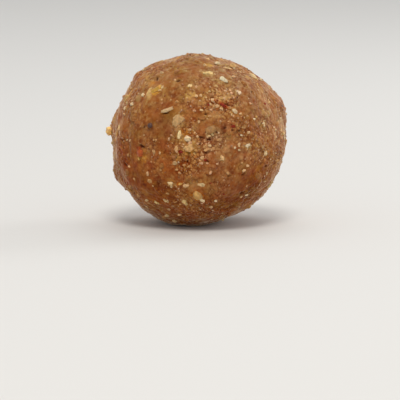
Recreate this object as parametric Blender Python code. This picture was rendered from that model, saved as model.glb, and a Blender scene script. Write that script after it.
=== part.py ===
"""Gond ladoo: one hand-rolled ball of roasted flour, ghee, edible gum and chopped nuts.

One solid at its real size: the rolled ball, with the swells and flats that palms leave, and the
nut chips, gum crumbs, coconut shreds and spice seeds that stand out of its skin, fused to it.
Metres, +Z up, and the front faces -Y. The ladoo rests on the small flat spot pressed into its
underside, and the origin is in the middle of its footprint.
"""

import math
import random

import bmesh
import bpy
from mathutils import Matrix, Vector, noise

MM = 0.001

# Driving dimensions
BALL_RADIUS = 20.7 * MM
BALL_MIDDLE = Vector((0.63 * MM, 0.22 * MM, 19.8 * MM))  # from the middle of the footprint
LOOK_DOWN = math.radians(7)  # the front's marks and pieces are placed as seen from this far above

# The ball's mesh: quads along each side of the cube that is blown up to it
SIDE_QUADS = 22

# Palm marks: (turn round the front outline from its right end, lean towards the eye, reach, all
# in degrees, and height). A swell has a height above zero, and a pressed flat one below.
PALM_MARKS = (
    (25, 0, 17, 1.2 * MM),
    (9, 0, 7, -0.6 * MM),
    (131, 0, 14, 1.0 * MM),
    (166, 0, 10, 0.6 * MM),
    (205, 0, 11, 1.0 * MM),
    (240, 0, 22, 0.4 * MM),
    (66, 0, 18, -0.6 * MM),
    (104, 0, 10, -0.5 * MM),
    (155, 0, 10, -0.3 * MM),
    (294, 0, 18, -1.2 * MM),
    (337, 0, 20, -0.6 * MM),
    (150, 50, 20, -0.4 * MM),
    (15, 55, 24, 0.3 * MM),
    (285, 50, 22, 0.3 * MM),
    (60, -50, 24, -0.9 * MM),
    (140, -45, 18, 0.7 * MM),
    (215, -50, 24, -0.8 * MM),
    (330, -40, 17, 0.7 * MM),
    (270, -75, 22, -0.5 * MM),
)

# Lumps of the mixture: (size across, height)
LUMPS = ((9.0 * MM, 0.45 * MM), (3.6 * MM, 0.35 * MM))

# Kinds of piece: (thickness over width, share of the thickness that stands out, colour,
# roughness)
KINDS = {
    "nut": (0.75, 0.40, "D2B585", 0.55),
    "gum": (0.80, 0.40, "B98A3E", 0.35),
    "coconut": (0.50, 0.60, "DAD2B4", 0.60),
    "seed": (1.00, 0.50, "4B322A", 0.45),
    "clinging crumb": (1.00, 0.70, "C29A58", 0.40),
}
DOUGH_COLOUR = "905E37"
DOUGH_ROUGHNESS = 0.55

# The larger pieces on the front: (kind, place right of the ball's middle, place above it,
# length, width, all in mm, and turn from level in degrees)
FRONT_PIECES = (
    ("gum", -10.1, 11.9, 3.4, 1.5, 50),
    ("nut", -11.8, 11.2, 2.5, 1.0, 95),
    ("nut", 2.1, 15.7, 2.7, 1.3, -8),
    ("coconut", 5.7, 14.1, 2.2, 1.4, -50),
    ("nut", 9.2, 11.0, 1.4, 1.0, -25),
    ("nut", -2.1, 12.6, 1.4, 1.2, 60),
    ("coconut", -7.4, 7.0, 3.2, 1.1, 21),
    ("nut", -5.0, 4.6, 3.3, 2.7, 75),
    ("seed", -11.5, 3.4, 1.4, 1.3, 0),
    ("nut", -4.5, 1.1, 2.1, 1.1, 95),
    ("nut", -2.3, -1.9, 2.5, 1.9, 20),
    ("nut", -5.1, -2.0, 1.8, 1.2, 75),
    ("gum", 2.8, 2.3, 3.0, 2.1, 15),
    ("coconut", 8.3, 6.6, 1.7, 1.1, -45),
    ("nut", 15.1, 3.7, 1.4, 1.0, 100),
    ("gum", -13.9, -3.1, 2.3, 1.9, 60),
    ("nut", 5.4, -4.3, 1.6, 1.2, -60),
    ("nut", 11.1, -1.3, 1.4, 1.1, 20),
    ("nut", 15.5, -3.2, 1.4, 1.1, 80),
    ("nut", -11.5, -9.7, 1.5, 1.2, 20),
    ("nut", -6.4, -10.0, 1.8, 1.1, 12),
    ("nut", 0.7, -10.3, 1.8, 1.1, 5),
    ("gum", -0.3, -12.9, 3.0, 2.2, -45),
    ("nut", -3.4, -14.4, 2.3, 1.2, -60),
    ("nut", -10.0, -14.6, 1.8, 1.1, -25),
    ("clinging crumb", -20.6, 2.1, 2.3, 2.0, 90),  # out on the left edge of the outline
)

# The smaller pieces, spread evenly over the rest of the skin by a spiral with uneven steps
SPREAD_STEPS = 108
SPREAD_SEED = 61
SPREAD_KINDS = ("nut",) * 10 + ("gum",) * 3 + ("coconut",) * 3 + ("seed",)
SPREAD_LENGTHS = (1.3 * MM, 2.7 * MM)
SPREAD_WIDTHS = (0.55, 0.85)  # over the length
UNEVEN_STEP = 0.06  # radians
CLEAR_OF_OTHERS = 0.9 * MM
LOWEST_PIECE = -16.5 * MM  # under the ball's middle, so that none lies on the flat spot

# The pieces that lie on the outline of the front are pressed in almost flush: how far from the
# outline, as the share of a unit vector that points to the eye, and how much less of them is out
OUTLINE_BAND = 0.22
PRESSED_IN = 0.3

# How far a piece's corners are drawn in or out from an even form
CORNER_REACH = (0.82, 1.14)

SMOOTH_ANGLE = math.radians(35)


def as_seen(across, outward, up):
    """Turns a vector given as the front is seen, to the right, to the eye and up, to the world."""
    return Matrix.Rotation(-LOOK_DOWN, 3, "X") @ Vector((across, -outward, up))


def mark_direction(turn, lean):
    turn = math.radians(turn)
    lean = math.radians(lean)
    level = math.cos(lean)
    return as_seen(level * math.cos(turn), math.sin(lean), level * math.sin(turn))


def front_direction(across, up):
    """Unit vector from the ball's middle to the place on its front seen this far to the right of
    the middle and above it."""
    outward = math.sqrt(max(0.0, BALL_RADIUS**2 - across**2 - up**2))
    return as_seen(across, outward, up).normalized()


MARKS = [(mark_direction(turn, lean), math.radians(reach), height)
         for turn, lean, reach, height in PALM_MARKS]


def skin_radius(direction):
    """How far the skin is from the ball's middle along a unit vector."""
    radius = BALL_RADIUS
    for mark, reach, height in MARKS:
        apart = math.acos(max(-1.0, min(1.0, direction.dot(mark))))
        radius += height * math.exp(-((apart / reach) ** 2))
    for size, height in LUMPS:
        radius += height * noise.noise(direction * BALL_RADIUS / size)
    return radius


def linear_colour(hex_colour):
    """RGBA in linear light of an sRGB colour."""
    levels = [int(hex_colour[at:at + 2], 16) / 255 for at in (0, 2, 4)]
    return [level / 12.92 if level <= 0.04045 else ((level + 0.055) / 1.055) ** 2.4
            for level in levels] + [1.0]


def make_material(name, hex_colour, roughness):
    material = bpy.data.materials.new(name)
    material.use_nodes = True
    material.diffuse_color = linear_colour(hex_colour)
    shader = material.node_tree.nodes["Principled BSDF"]
    shader.inputs["Base Color"].default_value = linear_colour(hex_colour)
    shader.inputs["Roughness"].default_value = roughness
    shader.inputs["Metallic"].default_value = 0.0
    return material


def make_object(name, body, material, collection):
    data = bpy.data.meshes.new(name)
    body.to_mesh(data)
    body.free()
    data.materials.append(material)
    made = bpy.data.objects.new(name, data)
    collection.objects.link(made)
    return made


def make_ball(collection):
    """The rolled ball: a finely divided cube blown up to a sphere of even quads, then given the
    palm marks and the lumps of the mixture."""
    body = bmesh.new()
    bmesh.ops.create_cube(body, size=2.0)
    bmesh.ops.subdivide_edges(body, edges=body.edges, cuts=SIDE_QUADS - 1, use_grid_fill=True)
    for vertex in body.verts:
        even = [math.tan(side * math.pi / 4) for side in vertex.co]
        direction = Vector(even).normalized()
        vertex.co = BALL_MIDDLE + direction * skin_radius(direction)
    material = make_material("roasted flour dough", DOUGH_COLOUR, DOUGH_ROUGHNESS)
    return make_object("ladoo", body, material, collection)


def make_piece(kind, direction, length, width, turn, chance, material, collection):
    """One broken piece with uneven corners, sunk in the skin with part of its thickness out."""
    flatness, stands_out, _, _ = KINDS[kind]
    if kind != "clinging crumb" and abs(direction.dot(as_seen(0, 1, 0))) < OUTLINE_BAND:
        stands_out *= PRESSED_IN
    thickness = width * flatness
    body = bmesh.new()
    bmesh.ops.create_icosphere(body, subdivisions=1, radius=0.5)
    for corner in body.verts:
        corner.co *= chance.uniform(*CORNER_REACH)
    middle = skin_radius(direction) + (stands_out - 0.5) * thickness
    place = (
        Matrix.Translation(BALL_MIDDLE + direction * middle)
        @ direction.to_track_quat("Z", "Y").to_matrix().to_4x4()
        @ Matrix.Rotation(math.radians(turn), 4, "Z")
        @ Matrix.Diagonal((length, width, thickness, 1.0))
    )
    bmesh.ops.transform(body, matrix=place, verts=body.verts)
    return make_object(kind, body, material, collection)


def front_places():
    """(kind, direction, length, width, turn) of each larger piece of the front."""
    return [
        (kind, front_direction(across * MM, up * MM), length * MM, width * MM, turn)
        for kind, across, up, length, width, turn in FRONT_PIECES
    ]


def spread_places(taken, chance):
    """The same of each smaller piece, on a golden-angle spiral from the top of the ball to its
    underside, left out where it would touch a piece that is there already."""
    golden_angle = math.pi * (3 - math.sqrt(5))
    places = []
    for step in range(SPREAD_STEPS):
        height = 1 - 2 * (step + 0.5) / SPREAD_STEPS
        ring = math.sqrt(1 - height * height)
        angle = golden_angle * step
        uneven = Vector([chance.uniform(-UNEVEN_STEP, UNEVEN_STEP) for _ in range(3)])
        direction = Vector((ring * math.cos(angle), ring * math.sin(angle), height)) + uneven
        direction.normalize()
        kind = chance.choice(SPREAD_KINDS)
        shortest, longest = SPREAD_LENGTHS
        length = shortest + (longest - shortest) * chance.random() ** 2
        width = length * chance.uniform(*SPREAD_WIDTHS)
        turn = chance.uniform(0, 180)
        clear = all(
            (direction - other).length * BALL_RADIUS > (length + other_length) / 2 + CLEAR_OF_OTHERS
            for _, other, other_length, _, _ in taken + places
        )
        if clear and direction.z * BALL_RADIUS > LOWEST_PIECE:
            places.append((kind, direction, length, width, turn))
    return places


def fuse(ball, pieces):
    """Joins the ball and its pieces into one body."""
    union = ball.modifiers.new("Fuse the pieces", "BOOLEAN")
    union.operation = "UNION"
    union.operand_type = "COLLECTION"
    union.collection = pieces
    union.solver = "EXACT"
    union.material_mode = "TRANSFER"
    graph = bpy.context.evaluated_depsgraph_get()
    fused = bpy.data.meshes.new_from_object(ball.evaluated_get(graph))
    ball.modifiers.clear()
    ball.data = fused
    for piece in list(pieces.objects):
        bpy.data.objects.remove(piece)
    bpy.data.collections.remove(pieces)


def press_flat(ball):
    """Cuts the underside off level, where the ladoo's own weight has pressed it flat."""
    body = bmesh.new()
    body.from_mesh(ball.data)
    everything = body.verts[:] + body.edges[:] + body.faces[:]
    cut = bmesh.ops.bisect_plane(
        body, geom=everything, plane_co=(0, 0, 0), plane_no=(0, 0, -1), clear_outer=True
    )
    rim = [part for part in cut["geom_cut"] if isinstance(part, bmesh.types.BMEdge)]
    bmesh.ops.holes_fill(body, edges=rim)
    body.to_mesh(ball.data)
    body.free()


def main():
    for thing in list(bpy.data.objects):
        bpy.data.objects.remove(thing)
    ladoo = bpy.data.collections.new("gond_ladoo")
    pieces = bpy.data.collections.new("fused_pieces")
    for collection in (ladoo, pieces):
        bpy.context.scene.collection.children.link(collection)

    ball = make_ball(ladoo)
    chance = random.Random(SPREAD_SEED)
    materials = {
        kind: make_material(kind, colour, roughness)
        for kind, (_, _, colour, roughness) in KINDS.items()
    }
    places = front_places()
    places += spread_places(places, chance)
    for kind, direction, length, width, turn in places:
        make_piece(kind, direction, length, width, turn, chance, materials[kind], pieces)

    fuse(ball, pieces)
    press_flat(ball)
    ball.data.shade_smooth()
    ball.data.set_sharp_from_angle(angle=SMOOTH_ANGLE)


main()
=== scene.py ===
"""Gond ladoo: the finish of one hand-rolled ball sweet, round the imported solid.

First the ball of roasted flour dough, then the chopped nuts, the puffed gum, the coconut, the
seeds and the grains that stand in its skin. Metres, +Z up.
"""

import math
import random
from functools import partial

import bpy
import numpy as np
from mathutils import Matrix, Vector, noise


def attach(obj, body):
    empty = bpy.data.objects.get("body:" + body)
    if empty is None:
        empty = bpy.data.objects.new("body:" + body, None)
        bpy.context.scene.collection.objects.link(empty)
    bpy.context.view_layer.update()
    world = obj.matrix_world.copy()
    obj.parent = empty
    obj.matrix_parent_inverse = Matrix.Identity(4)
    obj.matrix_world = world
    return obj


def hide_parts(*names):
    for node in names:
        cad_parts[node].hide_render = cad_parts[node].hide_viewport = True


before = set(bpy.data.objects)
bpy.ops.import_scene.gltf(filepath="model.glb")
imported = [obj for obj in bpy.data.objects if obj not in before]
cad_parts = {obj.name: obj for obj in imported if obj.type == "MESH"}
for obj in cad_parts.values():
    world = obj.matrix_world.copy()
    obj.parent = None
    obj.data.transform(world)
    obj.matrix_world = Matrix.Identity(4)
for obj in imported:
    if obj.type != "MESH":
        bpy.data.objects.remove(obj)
scene = bpy.context.scene
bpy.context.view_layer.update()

# --------------------------------------------------
# The ball of dough: wheat flour and semolina roasted in ghee, bound with sugar, still warm when
# two palms press and roll it. The palms leave swells, flats and a skin of packed grains, rubbed
# smooth in some parts and crumbly in others.
MM = 0.001
BALL_RADIUS = 20.7 * MM
BALL_MIDDLE = Vector((0.63 * MM, 0.22 * MM, 19.8 * MM))  # from the middle of the footprint
LOOK_DOWN = math.radians(7)  # the front is seen from this far above
# A place on the front is given as it is seen: mm right of the ball's middle, mm above it.

# (turn round the front outline from its right end, lean towards the eye, reach, all in degrees,
# and height in mm)
PALM_MARKS = (
    (25, 0, 17, 1.2), (9, 0, 7, -0.6), (131, 0, 14, 1), (166, 0, 10, 0.6), (205, 0, 11, 1),
    (240, 0, 22, 0.4), (66, 0, 18, -0.6), (104, 0, 10, -0.5), (155, 0, 10, -0.3),
    (294, 0, 18, -1.2), (337, 0, 20, -0.6), (150, 50, 20, -0.4), (15, 55, 24, 0.3),
    (285, 50, 22, 0.3), (60, -50, 24, -0.9), (140, -45, 18, 0.7), (215, -50, 24, -0.8),
    (330, -40, 17, 0.7), (270, -75, 22, -0.5),
)
LUMPS = ((9.0, 0.45), (3.6, 0.35))  # (size across, height), in mm
SKIN_CELLS = 128  # along each side of the cube that is blown up to the ball


def as_seen(across, outward, up):
    """Turns a vector given as the front is seen, to the right, to the eye and up, to the world."""
    return Matrix.Rotation(-LOOK_DOWN, 3, "X") @ Vector((across, -outward, up))


def front_direction(across, up):
    """Unit vector from the ball's middle to a place on the front."""
    outward = math.sqrt(max(0.0, (BALL_RADIUS / MM) ** 2 - across**2 - up**2))
    return as_seen(across, outward, up).normalized()


def mark_direction(turn, lean):
    turn = math.radians(turn)
    lean = math.radians(lean)
    level = math.cos(lean)
    return as_seen(level * math.cos(turn), math.sin(lean), level * math.sin(turn))


def skin_radii(directions):
    """How far the skin is from the ball's middle along each of many unit vectors."""
    radii = np.full(len(directions), BALL_RADIUS)
    for turn, lean, reach, height in PALM_MARKS:
        apart = np.arccos(np.clip(directions @ np.array(mark_direction(turn, lean)), -1, 1))
        radii += height * MM * np.exp(-((apart / math.radians(reach)) ** 2))
    for size, height in LUMPS:
        swell = [noise.noise(Vector(way) * BALL_RADIUS / (size * MM)) for way in directions]
        radii += height * MM * np.array(swell)
    return radii


def feed(node, inputs):
    """Gives each named input a value, an output to read, or a node, for its first output."""
    for name, value in inputs.items():
        if isinstance(value, bpy.types.Node):
            value = value.outputs[0]
        if isinstance(value, bpy.types.NodeSocket):
            node.id_data.links.new(value, node.inputs[name])
        else:
            node.inputs[name].default_value = value


def add_node(tree, kind, inputs=None, **settings):
    """Adds a node to a tree with its settings and what feeds its inputs."""
    node = tree.nodes.new(kind)
    for name, value in settings.items():
        setattr(node, name, value)
    feed(node, inputs or {})
    return node


def new_tree(name, **inputs):
    """A Geometry Nodes tree with these inputs, each given as its start value or socket type, with
    what adds a node to it and what its inputs give."""
    tree = bpy.data.node_groups.new(name, "GeometryNodeTree")
    tree.interface.new_socket("Geometry", in_out="OUTPUT", socket_type="NodeSocketGeometry")
    for label, start in {"Geometry": "Geometry", **inputs}.items():
        typed = isinstance(start, str)
        kind = start if typed else {bool: "Bool", int: "Int", float: "Float"}[type(start)]
        socket = tree.interface.new_socket(label, in_out="INPUT", socket_type="NodeSocket" + kind)
        if not typed:
            socket.default_value = start
    return tree, partial(add_node, tree), tree.nodes.new("NodeGroupInput").outputs


def in_scene(name, data):
    thing = bpy.data.objects.new(name, data)
    scene.collection.objects.link(thing)
    return thing


def run_tree(name, tree, mesh, **values):
    """Runs a tree on a mesh, and keeps what it makes as a plain mesh object at the origin."""
    maker = in_scene(name, mesh)
    modifier = maker.modifiers.new("maker", "NODES")
    modifier.node_group = tree
    for socket in tree.interface.items_tree:
        if socket.in_out == "INPUT" and socket.name in values:
            modifier[socket.identifier] = values[socket.name]
    graph = bpy.context.evaluated_depsgraph_get()
    made = bpy.data.meshes.new_from_object(maker.evaluated_get(graph))
    bpy.data.objects.remove(maker)
    made.name = name
    return in_scene(name, made)


def linear(hex_colour):
    """RGBA in linear light of an sRGB colour."""
    levels = [int(hex_colour[at:at + 2], 16) / 255 for at in (0, 2, 4)]
    return [level / 12.92 if level <= 0.04045 else ((level + 0.055) / 1.055) ** 2.4
            for level in levels] + [1.0]


def coordinates(mesh):
    places = np.empty(len(mesh.vertices) * 3)
    mesh.vertices.foreach_get("co", places)
    return places.reshape(-1, 3)


def keep(mesh, name, values):
    """Keeps one number, vector or colour for each point of a mesh under a name."""
    values = np.array(values)
    kind, field = {1: ("FLOAT", "value"), 3: ("FLOAT_VECTOR", "vector"),
                   4: ("FLOAT_COLOR", "color")}[values.size // len(values)]
    mesh.attributes.new(name, kind, "POINT").data.foreach_set(field, values.ravel())


def lie_in_skin(facing, turn):
    """The matrix that lays a piece with its back to the ball, turned by this many degrees."""
    return facing.to_track_quat("Z", "Y").to_matrix() @ Matrix.Rotation(math.radians(turn), 3, "Z")


def blown_cube():
    """Tree: a cube of even cells, blown up to a ball of radius 1."""
    tree, add, given = new_tree("blown cube", Cells=8)
    corners = add("ShaderNodeMath", {0: given["Cells"], 1: 1.0}, operation="ADD")
    cube = add("GeometryNodeMeshCube", {
        "Size": (2, 2, 2), "Vertices X": corners, "Vertices Y": corners, "Vertices Z": corners})
    side = add("GeometryNodeInputPosition")
    angle = add("ShaderNodeVectorMath", {0: side, 1: (math.pi / 4,) * 3}, operation="MULTIPLY")
    even = add("ShaderNodeVectorMath", {0: angle}, operation="TANGENT")
    unit = add("ShaderNodeVectorMath", {0: even}, operation="NORMALIZE")
    ball = add("GeometryNodeSetPosition", {"Geometry": cube, "Position": unit})
    add("NodeGroupOutput", {"Geometry": ball})
    return tree


def packed_grains():
    """Tree: pushes the smooth skin out in packed grains and crumbs, more where it is crumbly."""
    tree, add, given = new_tree(
        "packed grains", grain_size=1.0, grain_height=0.1, crumb_size=0.5, crumb_height=0.1,
        millimetre=0.001, material="Material")
    place = add("GeometryNodeInputNamedAttribute", {"Name": "pressed_skin"},
                data_type="FLOAT_VECTOR")
    crumbly = add("GeometryNodeInputNamedAttribute", {"Name": "crumbly"}, data_type="FLOAT")
    heights = []
    for size, height in (("grain_size", "grain_height"), ("crumb_size", "crumb_height")):
        scale = add("ShaderNodeMath", {0: 1.0, 1: given[size]}, operation="DIVIDE")
        cells = add("ShaderNodeTexVoronoi", {"Vector": place, "Scale": scale})
        dome = add("ShaderNodeMapRange", {
            "Value": cells, "From Min": 0.15, "From Max": 0.75, "To Min": 1.0, "To Max": -1.0},
            interpolation_type="SMOOTHSTEP")
        # each grain stands out by its own amount
        reach = add("ShaderNodeSeparateXYZ", {0: cells.outputs["Color"]})
        own = add("ShaderNodeMath", {0: dome, 1: reach}, operation="MULTIPLY")
        heights.append(add("ShaderNodeMath", {0: own, 1: given[height]}, operation="MULTIPLY"))
    height = add("ShaderNodeMath", {0: heights[0], 1: heights[1]}, operation="ADD")
    rough = add("ShaderNodeMapRange", {"Value": crumbly, "To Min": 0.25, "To Max": 1.5})
    for share in (rough, given["millimetre"]):
        height = add("ShaderNodeMath", {0: height, 1: share}, operation="MULTIPLY")
    outward = add("GeometryNodeInputNormal")
    offset = add("ShaderNodeVectorMath", {0: outward, "Scale": height}, operation="SCALE")
    moved = add("GeometryNodeSetPosition", {"Geometry": given["Geometry"], "Offset": offset})
    # the underside is pressed flat by the ladoo's own weight
    spot = add("GeometryNodeInputPosition")
    lowest = add("ShaderNodeVectorMath", {0: spot, 1: (-1, -1, 0)}, operation="MAXIMUM")
    pressed = add("GeometryNodeSetPosition", {"Geometry": moved, "Position": lowest})
    smooth = add("GeometryNodeSetShadeSmooth", {"Geometry": pressed})
    done = add("GeometryNodeSetMaterial", {"Geometry": smooth, "Material": given["material"]})
    add("NodeGroupOutput", {"Geometry": done})
    return tree


blank = run_tree("blank_ball", blown_cube(), bpy.data.meshes.new("start"), Cells=SKIN_CELLS)
directions = coordinates(blank.data)
smooth_skin = directions * skin_radii(directions)[:, None] + np.array(BALL_MIDDLE)
keep(blank.data, "pressed_skin", smooth_skin / MM)
skin_places = [Vector(place) for place in smooth_skin / MM]


def cloud(size, shift=(0, 0, 0)):
    """Soft chance lumps this many mm across: a number for each point of the skin."""
    return np.array([noise.noise(place / size + Vector(shift)) for place in skin_places])


def zone(across, up, reach):
    """For each point of the skin, 1 at this place on the front and less with distance, in mm."""
    apart = np.linalg.norm(directions - np.array(front_direction(across, up)), axis=1)
    return np.exp(-((apart * BALL_RADIUS / MM / reach) ** 2))


# Where the skin is crumbly, and where it is rubbed smooth: (place, reach in mm, and how crumbly,
# below zero for smooth)
CRUMBLY_ZONES = (
    (6.4, 10.6, 3.6, 0.9), (5, 6.8, 2.8, 0.5), (-2, -2.4, 4.8, 0.9), (13, 4, 4, 0.35),
    (13, -1, 4.5, 0.3), (-1.5, -15, 4.6, 0.5), (-9, 12, 5, -0.8), (-9.5, 3.2, 3.6, -0.4),
    (9, -9, 4, -0.5), (2.5, 17.6, 3.6, -0.4), (-15, -8, 4, -0.6), (14, 10, 3.4, -0.4),
)
CRUMBLY_CLOUDS = ((5.0, 0.7), (2.2, 0.35))  # (mm across, strength)

crumbly = np.full(len(skin_places), 0.45)
for size, strength in CRUMBLY_CLOUDS:
    crumbly += strength * cloud(size)
for *spot, amount in CRUMBLY_ZONES:
    crumbly += amount * zone(*spot)
crumbly = np.clip(crumbly, 0, 1)
keep(blank.data, "crumbly", crumbly)
keep(blank.data, "grainy", np.clip((crumbly - 0.2) / 0.7, 0, 1) ** 1.5)
keep(blank.data, "everywhere", np.ones(len(crumbly)))

# The tones of the dough: the share by which red, green and blue rise, (mm across, strength) of
# its chance clouds where it has any, and its zones on the front: (place, reach in mm, strength).
# Some zones paint light and shade: the red and toasted zones low on the front are painted shade,
# and the pale and floury zones along the top and at the right edge are painted sheen.
TONES = {
    "bright": ((0.14, 0.15, 0.1), None, (
        (4.6, 10.3, 4, 2.2), (8, 15.5, 3, 0.7), (-4, 8.2, 3.2, 0.8), (-3.8, -4.4, 3.2, 1.5),
        (-3.8, -13.1, 3.8, 1.1), (1, -2.8, 6.5, 1.6), (1.8, -4.6, 3.4, 0.6),
        (-11.6, -6.8, 3.6, 1.7), (12.6, -3, 5, 1.6), (5.7, 0, 3.8, 0.4), (7.6, 7.6, 3.4, 0.5),
        (15.2, -1, 6, 0.4), (6, -11.4, 4.4, 0.25),
    )),
    "golden": ((0.09, 0.22, 0.25), (3.4, 0.7), (
        (-10, 12, 5.5, 0.9), (0, 13, 7, 0.7), (15.5, 6, 6, 1.4), (-15.5, 8, 3.5, 0.5),
        (-3.4, 1, 3.6, 1.3), (-2, -11.5, 4, 1.2), (3.8, 11.4, 3.4, 0.35), (-11.4, 0.6, 3.2, 0.3),
    )),
    # the pale zones at the right edge and at the top are painted sheen
    "pale": ((0.09, 0.2, 0.3), (2, 0.4), (
        (5.2, 10, 4.6, 0.4), (19.5, 4, 4.5, 1.8), (18.5, -6, 4, 0.7), (-7, 18.5, 6, 0.7),
        (-14.5, 12, 4.5, 0.4), (-11.4, 11, 3.4, 0.4), (-11.6, 1.8, 4, 0.6), (7.6, -11.6, 3.4, 0.4),
        (-7.6, 11.4, 3.4, 0.35), (-11.4, -7.6, 3.4, 0.3),
    )),
    # the floury zones along the top and at the right edge are painted sheen
    "floury_and_sheen": ((-0.05, 0.05, 0.28), None, (
        (-9.5, 13, 4.5, 0.7), (3, 18, 8, 0.7), (10, 13, 6, 1.2), (-7.4, 3.4, 3.2, 0.5),
        (6.4, -9.6, 4, 0.6), (15, 4, 6.5, 0.25), (3.4, 3, 3.6, 1), (5, -3.5, 4.5, 1.1),
        (11.4, -3.4, 3.5, 0.8), (3.8, -3.4, 3.4, 0.35),
    )),
    "dull": ((-0.1, -0.02, 0), None, (
        (2, 18, 8, 1.1), (-7.4, 3.4, 3.2, 0.8), (-6, 16, 4, 0.8), (-13.4, -9.4, 3.8, 0.6),
    )),
    "rosy": ((0.04, -0.16, 0.02), (2.4, 0.75), ()),
    # the red zones at the bottom and along the lower left edge are painted shade
    "red": ((-0.09, -0.22, -0.25), None, (
        (-3.8, -4.4, 3.2, 0.8), (-8, 0.8, 3, 1.2), (0, 4.5, 2.5, 0.8), (-16, -7, 4.6, 1.4),
        (-18.6, -4, 4, 0.6), (-17, -10, 4, 0.5), (-8, -6, 6, 1), (4, -8.5, 6.5, 0.7),
        (14, -9, 6, 0.8), (-10, -13.5, 5.6, 1.3), (2, -18, 6, 0.7), (15.2, 2.6, 3.8, 0.65),
        (-3.8, -13.3, 3.6, 0.3), (-1.9, 3.8, 3.8, 0.3), (0, -4.6, 3, 0.4),
    )),
    # the toasted zones at the bottom and at the lower left and right are painted shade
    "toasted_and_shaded": ((-0.18, -0.22, -0.24), None, (
        (-3.6, 11.6, 3, 1), (11.5, 6.8, 3.8, 0.9), (-7.8, 6.3, 4.6, 1.8), (-15.5, 1.5, 4, 0.8),
        (-15, -8, 4, 0.4), (10.8, -8, 3.4, 0.7), (12, -11.4, 4.5, 1.4), (-10, -11.5, 4.4, 0.9),
        (6.5, -15.5, 4.5, 1.2), (15.2, 7.6, 3.4, 0.35), (-7.6, -1, 3.4, 0.25), (-15.2, 0, 3, 0.3),
    )),
}
ROAST = (1.04, 0.908, 0.675)  # red, green and blue of the whole ball over those of the mixture
LEAST_TONE, MOST_TONE = 0.15, 1.8

tone = np.tile(ROAST, (len(skin_places), 1))
for rise, clouds, zones in TONES.values():
    amount = sum(strength * zone(*spot) for *spot, strength in zones)
    if clouds:
        size, strength = clouds
        amount = amount + strength * cloud(size, (40, 0, 0))
    tone += np.outer(amount, rise)
keep(blank.data, "tone", np.clip(tone, LEAST_TONE, MOST_TONE))

# What lies just under the skin and shows through it, by its tint: (place, length and width in
# mm, turn from level in degrees, how clearly it shows)
UNDER_SKIN = {
    "pale": (
        (-11.6, 10.6, 2.8, 1.4, 92, 0.8), (2.1, 15.6, 3.4, 1.8, -8, 0.6),
        (-2, 10.4, 2.8, 2.2, 20, 0.9), (4, 5.8, 2.8, 2.2, 10, 0.5), (14.4, 12, 2.6, 2.4, 0, 0.5),
        (-3.4, -14.4, 2.8, 1.5, -60, 0.6), (-12.9, -12.2, 2.6, 2, 70, 0.5),
        (15.1, 6.4, 1.8, 1.1, 80, 0.6), (16.4, 5.7, 1.5, 1, 60, 0.5), (16.4, 0.6, 1.3, 1, 0, 0.5),
        (6.3, -2.2, 2, 1.9, 0, 0.5), (6.3, 10.6, 5, 2.6, 5, 0.35),
    ),
    "beige": (
        (-5, 4.6, 3.8, 3.2, 75, 0.9),
    ),
    "yellow": (
        (-10, 11.9, 4.2, 2.2, 50, 0.9), (-13.2, -4.5, 2.6, 2, 20, 0.5),
        (-19.7, 1.4, 3.6, 1.6, 90, 0.6), (-2.3, -2.2, 3, 2.4, 20, 0.6),
        (13.9, -6.8, 2.2, 1.8, 0, 0.5), (11.2, -1.4, 2, 1.6, 20, 0.5),
    ),
    "amber": (
        (-3.1, 1.8, 3.2, 2.6, 0, 0.6), (-0.3, -12.9, 3.4, 2.8, -45, 1),
        (-4.5, -10.1, 2.2, 1, 10, 0.8),
    ),
    "grey": (
        (3.2, 2, 4.6, 3.2, 10, 0.8),
    ),
    "red": (
        (-14.1, -2.8, 3, 2.4, 60, 0.9), (-18.3, -2.4, 2.6, 2.2, 90, 0.6),
        (5.6, 8.2, 2.6, 1.2, -35, 0.8),
    ),
    "dark": (
        (-9.3, -10.6, 2.4, 1.6, 0, 0.4), (5.8, 2.6, 2.6, 2, 70, 0.85),
    ),
}
TINTS = {"pale": "C29860", "beige": "BE9864", "yellow": "CE9638",
         "amber": "B46C1C", "grey": "98744A", "red": "9A380C", "dark": "5A260E"}
SIDE_PATCHES = 70  # as many again by chance, round the sides and the back
SIDE_TINTS = ["pale", "pale", "yellow", "red", "amber", "grey"]
SIDE_LENGTHS = (1.6, 3.6)
SIDE_WIDTHS = (0.5, 0.9)  # over the length
SIDE_STRENGTHS = (0.4, 0.9)

# Pits that a grain has left, and short cracks: (place, length and width in mm, turn in degrees)
PITS = (
    (-4.9, 14.1, 0.9, 0.6, 20), (-13, 3.1, 0.5, 0.3, 60), (-3.2, 2.2, 0.6, 0.3, 80),
    (0.6, 0.6, 1.5, 0.45, -12), (2.3, 0.1, 1.3, 0.4, 10), (0.2, -0.9, 1, 0.25, 35),
    (-2.4, -2.9, 0.9, 0.25, -20), (6, 2.8, 0.6, 0.4, 20), (2, -2.9, 1.2, 0.25, 12),
    (2, -4.9, 0.9, 0.25, -30), (7.8, 10.7, 0.5, 0.3, 0), (3.9, 11, 0.5, 0.3, 0),
    (1.6, 6.1, 0.7, 0.3, 0), (-2.8, -5.1, 0.8, 0.25, 80), (10.2, -12.5, 1.1, 0.8, 0),
    (-7.9, 6.3, 1.8, 0.3, 15), (-13.6, -1.5, 1.7, 0.6, -18), (10.2, -7.9, 1.1, 0.3, 20),
    (7, -8.3, 0.7, 0.3, 0), (-17.3, -5.7, 1.1, 0.5, -50), (6.6, 8.3, 1.4, 0.25, -32),
    (7.7, 2.3, 0.7, 0.4, 0), (9.3, 2.1, 0.6, 0.4, 0), (15.8, -6.1, 0.6, 0.5, 0),
    (12.3, 11.3, 0.4, 0.3, 0),
)
PIT_DEPTH = 0.4
SIDE_PITS = 60
SIDE_PIT_LENGTHS = (0.5, 1.4)
SIDE_PIT_WIDTHS = (0.25, 0.5)  # over the length
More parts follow.
